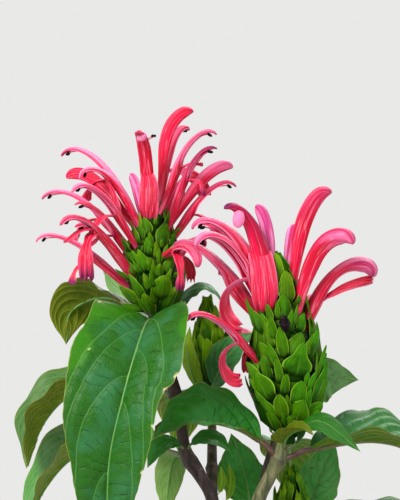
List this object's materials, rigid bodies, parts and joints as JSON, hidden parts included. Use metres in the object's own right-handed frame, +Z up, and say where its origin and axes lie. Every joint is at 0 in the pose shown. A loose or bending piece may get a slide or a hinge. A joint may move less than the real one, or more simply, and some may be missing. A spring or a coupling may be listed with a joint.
{
  "type": "potted brazilian plume flower",
  "caption": "Potted shrub with plumes of curved pink two-lipped flowers on green bract cones, drooping veined leaves and dark stems in a plain clay pot of soil.",
  "frame": {"origin": "centre of the pot's flat underside", "axes": "+Z up, +X to the right of the front view, -Y towards its viewer"},
  "size_m": [0.2218, 0.2268, 0.3961],
  "materials": {
    "clay": "matte",
    "soil": "matte",
    "stem": "satin",
    "leaf_deep": "satin",
    "leaf_olive": "satin",
    "leaf_pale": "satin",
    "leaf_bright": "satin",
    "leaf_teal": "satin",
    "flower": "satin",
    "bract": "satin"
  },
  "bodies": {
    "root": {"pot": "clay", "soil": "soil", "stem_left": "stem", "stem_right": "stem", "stem_low": "stem", "leaf_front": "leaf_deep", "leaf_upper_left": "leaf_olive", "leaf_mid_left": "leaf_deep", "leaf_low_left": "leaf_deep", "leaf_mid_right": "leaf_deep", "leaf_right": "leaf_deep", "leaf_under_head": "leaf_deep", "leaf_curled": "leaf_olive", "leaf_behind_right": "leaf_teal", "leaf_between_heads": "leaf_teal", "leaf_bud_front": "leaf_teal", "leaf_bud_side": "leaf_bright", "leaf_behind_middle": "leaf_deep", "leaf_behind_low_right": "leaf_teal", "leaf_hanging": "leaf_pale", "leaf_small_back": "leaf_olive", "leaf_small_right": "leaf_deep", "leaf_small_left": "leaf_deep", "leaf_drooping": "leaf_teal", "shoot_leaf_a": "leaf_bright", "shoot_leaf_b": "leaf_bright", "leaf_upper_back": "leaf_pale", "leaf_back_high": "leaf_deep", "leaf_back_mid": "leaf_deep", "leaf_back_right": "leaf_deep", "leaf_low_front_left": "leaf_deep", "leaf_low_front_right": "leaf_deep", "leaf_low_right": "leaf_deep", "leaf_low_far_left": "leaf_deep", "leaf_low_back_left": "leaf_deep", "leaf_low_back": "leaf_deep", "leaf_low_back_right": "leaf_deep", "head_left_flowers": "flower", "head_right_flowers": "flower", "head_left_bracts": "bract", "head_right_bracts": "bract", "bud_head_middle": "bract", "bud_head_low": "bract"}
  },
  "joints": []
}
